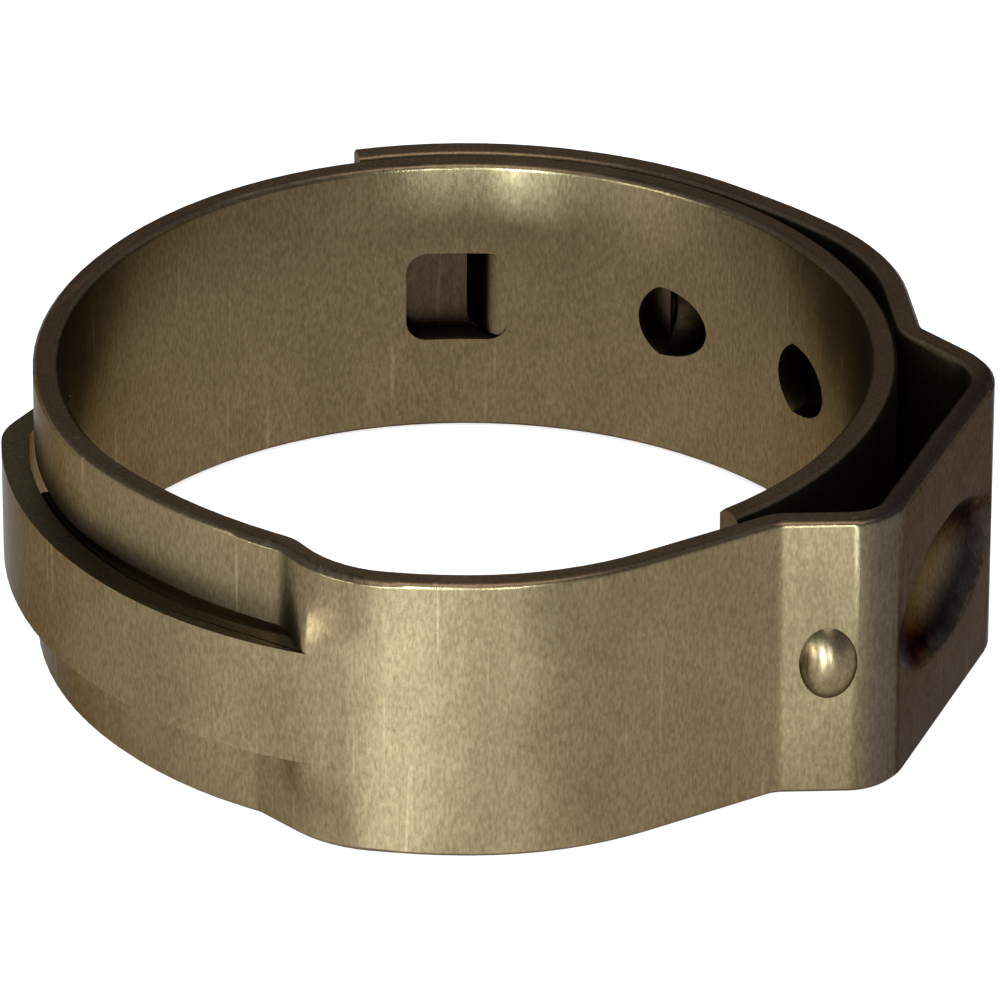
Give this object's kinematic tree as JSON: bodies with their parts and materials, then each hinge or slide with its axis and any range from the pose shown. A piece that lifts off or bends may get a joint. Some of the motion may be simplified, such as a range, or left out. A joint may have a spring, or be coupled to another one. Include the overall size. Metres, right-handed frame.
{
  "type": "ear hose clamp",
  "caption": "Stepless ear clamp: a flat steel strip lapped into a ring, with a crimping ear, hooks in windows and a tongue in a raised channel.",
  "frame": {"origin": "centre of the hose bore at mid width of the strip", "axes": "+Z along the bore axis; the ear points mostly towards +X, turned 21 degrees towards -Y; the lap and its hooks lie on the +Y side"},
  "size_m": [0.0226, 0.0216, 0.007],
  "materials": {
    "strip": "rolled stainless strip with a fine speckled grain, rims dark where they were slit"
  },
  "bodies": {
    "root": {"clamp_band": "strip"}
  },
  "joints": []
}
